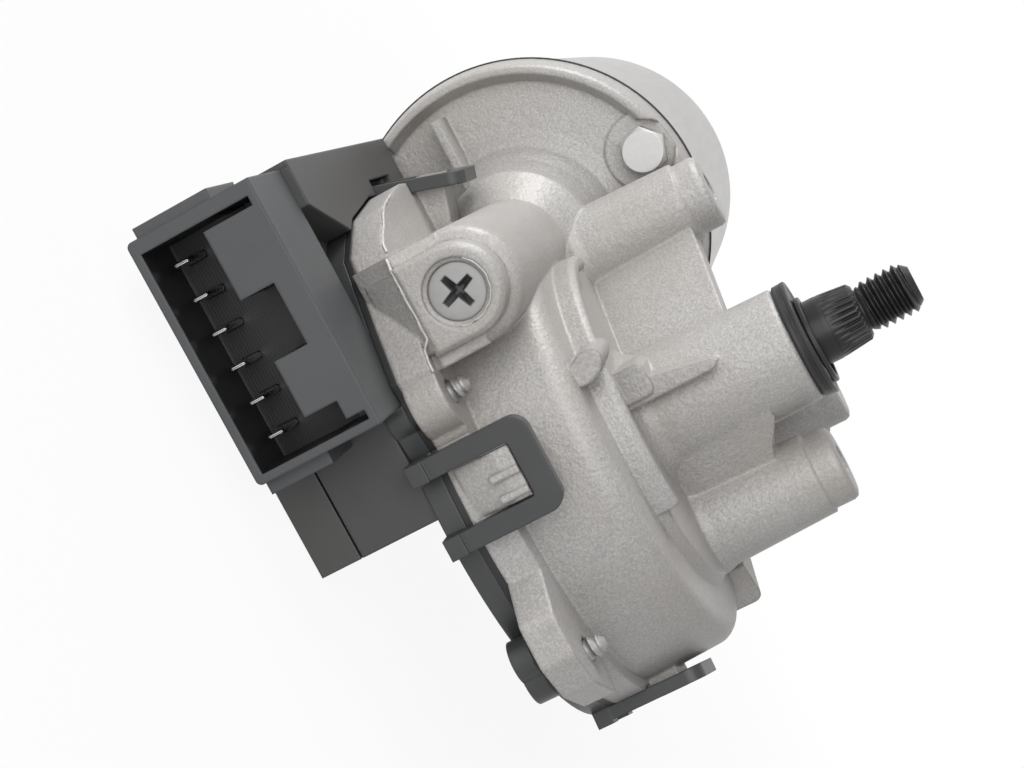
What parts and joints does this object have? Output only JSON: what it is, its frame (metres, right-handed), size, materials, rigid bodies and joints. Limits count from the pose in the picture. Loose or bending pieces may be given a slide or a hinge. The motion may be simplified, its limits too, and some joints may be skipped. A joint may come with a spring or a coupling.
{
  "type": "wiper motor",
  "caption": "Windscreen wiper motor: drawn steel motor can on a cast gear housing, worm and wheel to a threaded output shaft, plug socket and control box beneath.",
  "frame": {"origin": "centre of the threaded hole's mouth in the long mounting boss beside the output shaft, in the plane where the bracket sits", "axes": "+Z along the output shaft, towards its threaded tip; +Y along the motor's axis, from the thrust screw to the closed end of the can"},
  "size_m": [0.0991, 0.1945, 0.0872],
  "materials": {
    "cast_aluminium": "fine blasted die casting, bare",
    "can_steel": "drawn steel, satin zinc-nickel plated",
    "gasket_rubber": "black moulded rubber",
    "zinc_steel": "zinc plated steel",
    "dark_steel": "black zinc plated spring steel",
    "shaft_steel": "black phosphated steel",
    "bearing_steel": "ground and polished",
    "bearing_bronze": "oil-filled sintered bronze",
    "lamination_steel": "stacked electrical steel",
    "copper": "enamelled copper",
    "magnet_ferrite": "dark grey sintered ferrite",
    "carbon": "pressed carbon",
    "wheel_plastic": "natural acetal",
    "holder_plastic": "dark glass-filled plastic",
    "black_plastic": "black nylon",
    "cover_plastic": "black glass-filled plastic",
    "connector_plastic": "charcoal glass-filled plastic",
    "box_plastic": "charcoal plastic with a fine moulded texture",
    "lid_plastic": "smooth warm charcoal plastic",
    "pin_tin": "tin plated",
    "board_green": "solder-resist green",
    "spring_bronze": "spring bronze"
  },
  "bodies": {
    "housing": {"gear_housing": "cast_aluminium", "motor_can": "can_steel", "can_gasket": "gasket_rubber", "can_end_ring": "zinc_steel", "can_bolts": "zinc_steel", "thrust_screw": "zinc_steel", "thrust_ball": "bearing_steel", "nose_bush": "bearing_bronze", "front_bearing_outer_ring": "bearing_steel", "front_bearing_balls": "bearing_steel", "rear_bearing": "bearing_bronze", "field_magnets": "magnet_ferrite", "brush_holder": "holder_plastic", "carbon_brushes": "carbon", "brush_springs": "spring_bronze", "lower_shaft_bush": "bearing_bronze", "upper_shaft_bush": "bearing_bronze", "tower_cap": "black_plastic", "cover_gasket": "gasket_rubber", "gear_cover": "cover_plastic", "cover_screws": "zinc_steel", "control_box": "box_plastic", "control_box_lid": "lid_plastic", "connector_shroud": "connector_plastic", "connector_pins": "pin_tin", "circuit_board": "board_green", "park_contact_springs": "spring_bronze"},
    "output": {"output_shaft": "shaft_steel", "worm_wheel": "wheel_plastic", "contact_disc": "copper", "thrust_washer": "wheel_plastic", "retaining_ring": "dark_steel"},
    "armature": {"armature_shaft": "bearing_steel", "armature_core": "lamination_steel", "armature_windings": "copper", "commutator": "copper", "front_bearing_inner_ring": "bearing_steel"}
  },
  "joints": [
    {"name": "output_spin", "type": "hinge", "parent": "housing", "child": "output", "pos_m": [-0.0189, -0.0013, 0], "axis": [0, 0, 1], "continuous": true},
    {"name": "armature_spin", "type": "hinge", "parent": "housing", "child": "armature", "pos_m": [-0.0499, -0.0013, -0.031], "axis": [0, 1, 0], "continuous": true}
  ],
  "couplings": [
    {"joint": "armature_spin", "follows": "output_spin", "ratio": 54}
  ]
}
